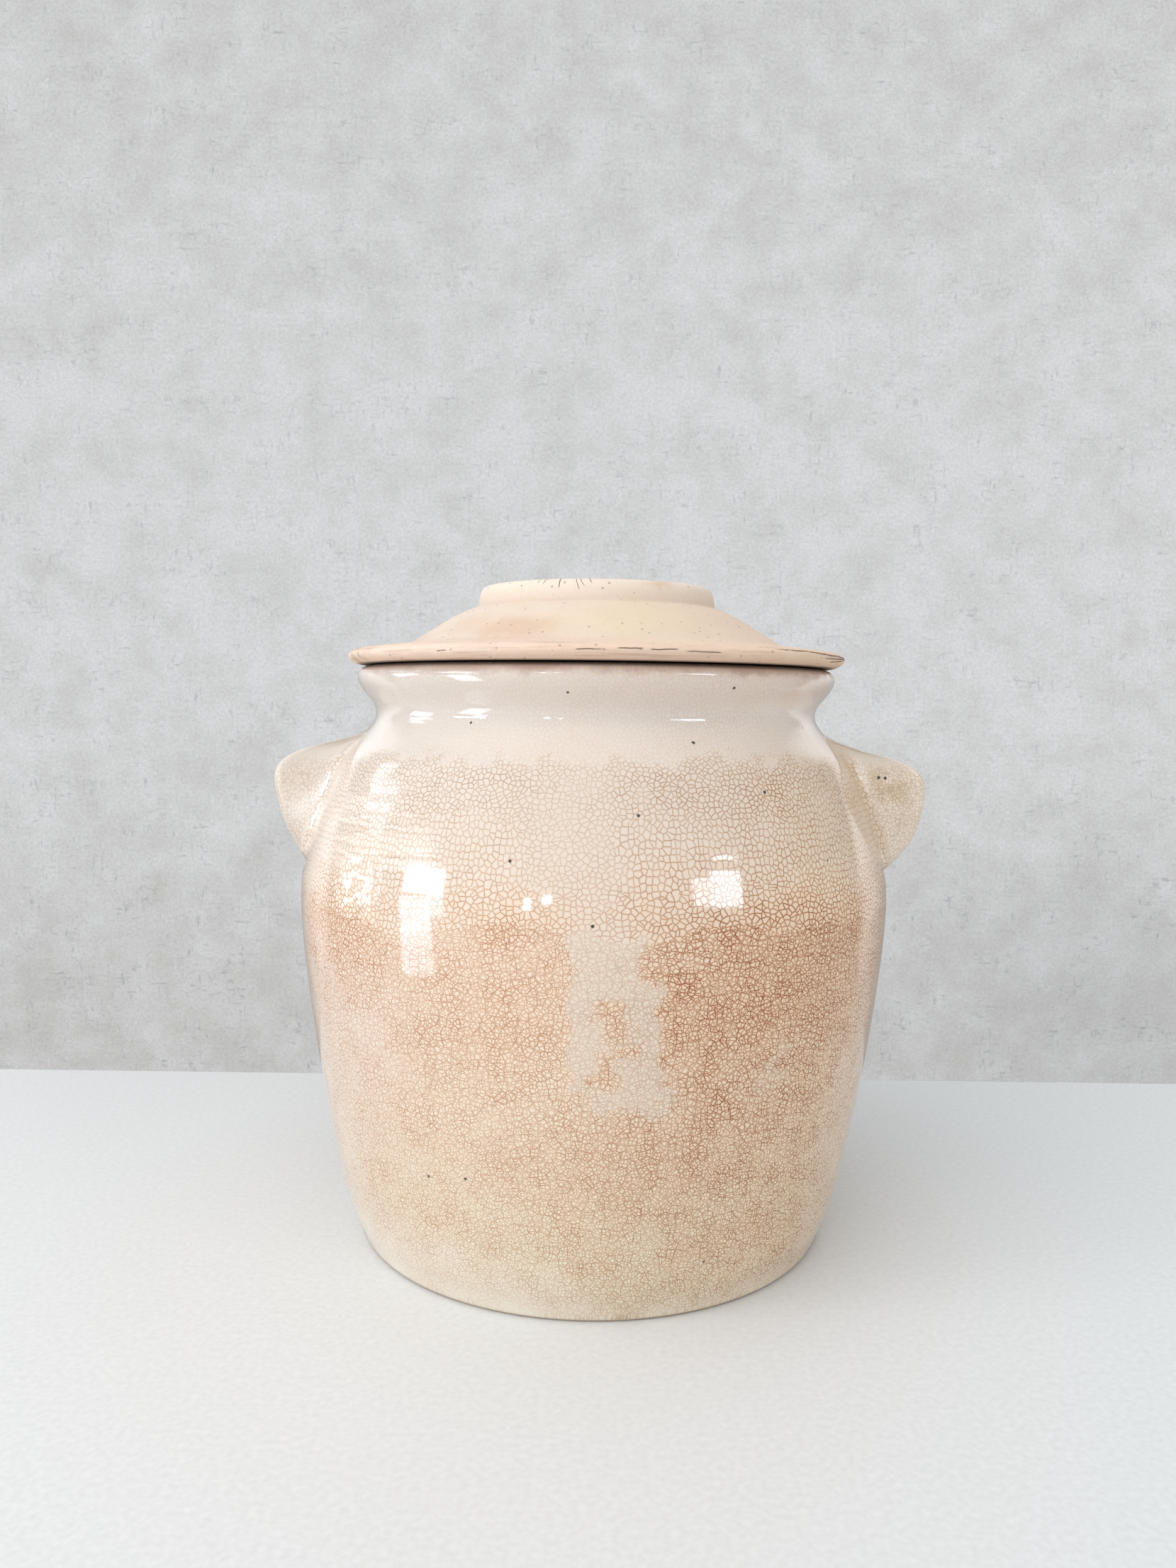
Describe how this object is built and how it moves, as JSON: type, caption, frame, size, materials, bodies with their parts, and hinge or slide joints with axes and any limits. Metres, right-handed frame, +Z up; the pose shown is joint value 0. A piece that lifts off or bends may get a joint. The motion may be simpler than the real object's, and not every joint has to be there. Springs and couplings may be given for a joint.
{
  "type": "lidded storage crock",
  "caption": "Round-bellied glazed stoneware crock with a flared collar, two solid wedge ears on the shoulder and a loose unglazed saucer lid with a hollow ring knob.",
  "frame": {"origin": "middle of the foot ring, on the surface the crock stands on", "axes": "+Z up along the turning axis, ears along X, front towards -Y"},
  "size_m": [0.2637, 0.24, 0.2632],
  "materials": {
    "body_glaze": "gloss",
    "ear_glaze": "gloss",
    "lid_bisque": "matte"
  },
  "bodies": {
    "pot": {"pot_body": "body_glaze", "ear_left": "ear_glaze", "ear_right": "ear_glaze"},
    "lid": {"lid": "lid_bisque"}
  },
  "joints": [
    {"name": "lid_lift", "type": "slide", "parent": "pot", "child": "lid", "axis": [0, 0, 1], "range_m": [0, 0.12]}
  ]
}
